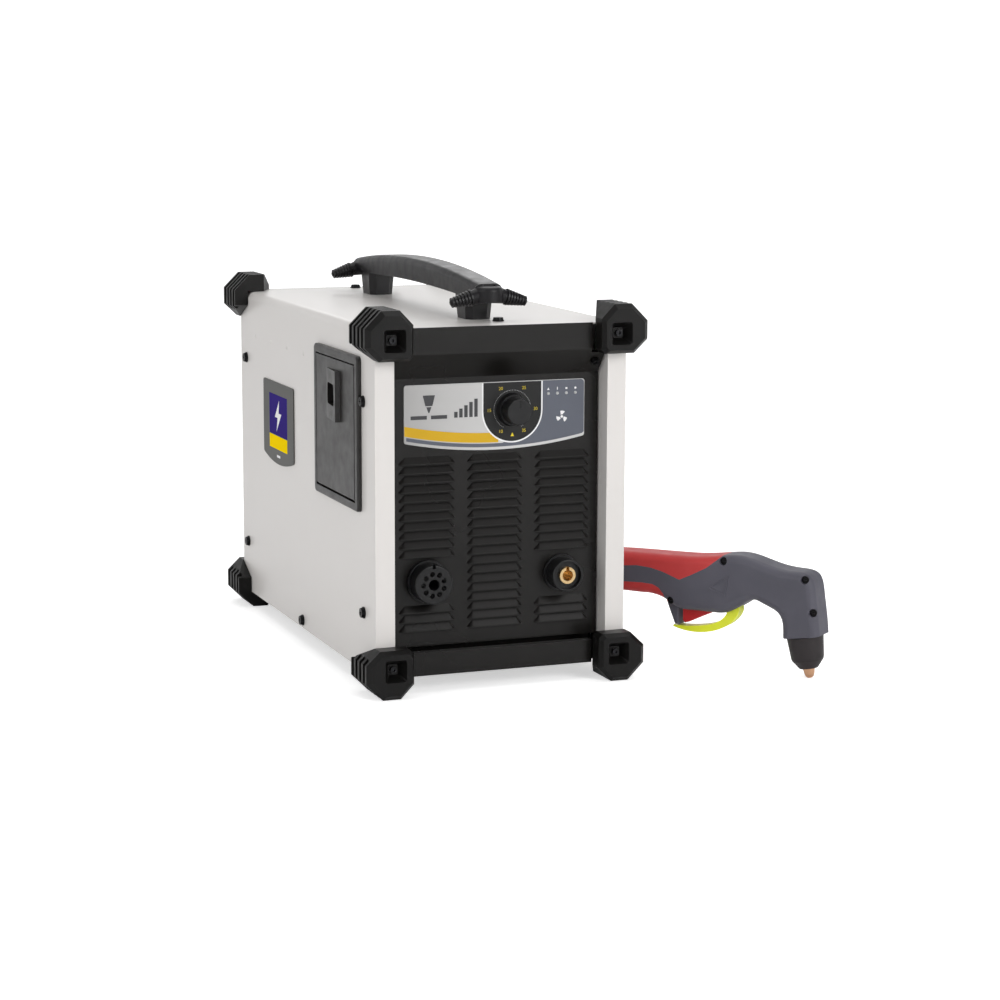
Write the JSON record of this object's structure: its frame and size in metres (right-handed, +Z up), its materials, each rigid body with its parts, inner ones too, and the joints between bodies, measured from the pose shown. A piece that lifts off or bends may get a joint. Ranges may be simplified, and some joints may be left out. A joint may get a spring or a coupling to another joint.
{
  "type": "plasma cutter",
  "caption": "Portable air plasma cutter: boxy ventilated cabinet with corner bumpers, carrying handle, current dial, torch and earth sockets, side compartment door and a pistol-shaped torch",
  "frame": {"origin": "middle of the base tray's pressed-down pad, on its underside, level with the cover's lower edge", "axes": "+X to the right seen from the front, +Y to the back along the cabinet, +Z up"},
  "size_m": [0.4505, 0.5764, 0.3914],
  "materials": {
    "cover_paint": "warm off-white powder coat, slightly glossy",
    "black_paint": "black semi-matte powder coat",
    "zinc_steel": "zinc plated sheet steel",
    "black_screw": "black oxide",
    "silver_screw": "bright zinc",
    "overlay_print": "printed polycarbonate overlay, satin",
    "black_plastic": "moulded, fine grain",
    "handle_plastic": "moulded, soft sheen",
    "bumper_rubber": "moulded black rubber",
    "damper_rubber": "soft black rubber",
    "lens_plastic": "small coloured lenses",
    "brass": "machined brass",
    "contact_metal": "plated pins",
    "board_green": "solder-masked circuit board",
    "door_plastic": "dark grey moulded plastic",
    "badge_plate": "brushed and lacquered",
    "cast_body": "bead blasted casting",
    "motor_paint": "dark blue-grey paint",
    "hose_rubber": "air hose",
    "transformer_core": "varnished laminations",
    "capacitor_sleeve": "shrink sleeve",
    "torch_grey": "blue-grey moulded plastic",
    "torch_red": "red soft grip",
    "trigger_red": "red moulded plastic",
    "lever_lime": "yellow-green moulded plastic",
    "cup_dark": "dark brown heat-resistant moulding",
    "copper": "machined copper"
  },
  "bodies": {
    "cabinet": {"cover": "cover_paint", "base_tray": "black_paint", "front_panel": "black_paint", "rear_panel": "black_paint", "front_overlay": "overlay_print", "potentiometer": "zinc_steel", "control_board": "board_green", "indicator_lights": "lens_plastic", "torch_socket_body": "black_plastic", "torch_socket_contacts": "contact_metal", "earth_socket_body": "black_plastic", "earth_socket_insert": "brass", "fan_frame": "black_plastic", "fan_guard": "silver_screw", "power_switch_body": "black_plastic", "mains_gland": "black_plastic", "side_door_frame": "door_plastic", "door_bin": "black_plastic", "side_badge": "badge_plate", "bumper_screws": "silver_screw", "cover_screws": "black_screw", "panel_screws": "black_screw", "handle_grip": "handle_plastic", "handle_post_front": "handle_plastic", "handle_post_rear": "handle_plastic", "compressor_motor": "motor_paint", "compressor_crankcase": "cast_body", "compressor_head": "cast_body", "compressor_dampers": "damper_rubber", "air_hose": "hose_rubber", "shelf_plate": "zinc_steel", "heatsink": "cast_body", "power_board": "board_green", "transformer": "transformer_core", "capacitors": "capacitor_sleeve", "torch_holder": "black_paint", "bumper_front_low_left": "bumper_rubber", "bumper_front_low_right": "bumper_rubber", "bumper_front_high_left": "bumper_rubber", "bumper_front_high_right": "bumper_rubber", "bumper_rear_low_left": "bumper_rubber", "bumper_rear_low_right": "bumper_rubber", "bumper_rear_high_left": "bumper_rubber", "bumper_rear_high_right": "bumper_rubber"},
    "knob": {"current_knob": "black_plastic"},
    "fan": {"fan_rotor": "black_plastic"},
    "rocker": {"power_switch_rocker": "trigger_red"},
    "door": {"side_door": "door_plastic"},
    "latch": {"door_latch": "black_plastic"},
    "pump_rotor": {"compressor_rotor": "zinc_steel"},
    "torch": {"torch_shell_left": "torch_grey", "torch_shell_right": "torch_grey", "torch_grip": "torch_red", "torch_cup": "cup_dark", "torch_nozzle": "copper", "torch_electrode": "copper", "torch_screws": "black_screw", "torch_pivot_pins": "silver_screw"},
    "trigger": {"torch_trigger": "trigger_red"},
    "lever": {"torch_safety_lever": "lever_lime"}
  },
  "joints": [
    {"name": "knob_turn", "type": "hinge", "parent": "cabinet", "child": "knob", "pos_m": [0.0172, -0.22, 0.2452], "axis": [0, -1, 0], "range_deg": [-150, 150]},
    {"name": "fan_spin", "type": "hinge", "parent": "cabinet", "child": "fan", "pos_m": [-0.035, 0.2, 0.205], "axis": [0, 1, 0], "continuous": true},
    {"name": "pump_spin", "type": "hinge", "parent": "cabinet", "child": "pump_rotor", "pos_m": [0.045, 0.05, 0.072], "axis": [0, 1, 0], "continuous": true},
    {"name": "rocker_tilt", "type": "hinge", "parent": "cabinet", "child": "rocker", "pos_m": [0.068, 0.21, 0.252], "axis": [-1, 0, 0], "range_deg": [0, 14]},
    {"name": "door_hinge", "type": "hinge", "parent": "cabinet", "child": "door", "pos_m": [-0.1265, -0.123, 0.1628], "axis": [0, -1, 0], "range_deg": [0, 95]},
    {"name": "latch_slide", "type": "slide", "parent": "door", "child": "latch", "axis": [0, 0, -1], "range_m": [0, 0.006], "stiffness_N_per_m": 300},
    {"name": "torch_lift", "type": "slide", "parent": "cabinet", "child": "torch", "axis": [0, 0, 1], "range_m": [0, 0.12]},
    {"name": "trigger_pull", "type": "hinge", "parent": "torch", "child": "trigger", "pos_m": [0.22817, -0.22473, 0.0444], "axis": [0.7749, 0.632, 0], "range_deg": [0, 10], "stiffness_Nm_per_rad": 0.5},
    {"name": "lever_swing", "type": "hinge", "parent": "torch", "child": "lever", "pos_m": [0.24081, -0.24023, 0.0454], "axis": [-0.7749, -0.632, 0], "range_deg": [0, 12], "stiffness_Nm_per_rad": 0.3}
  ]
}
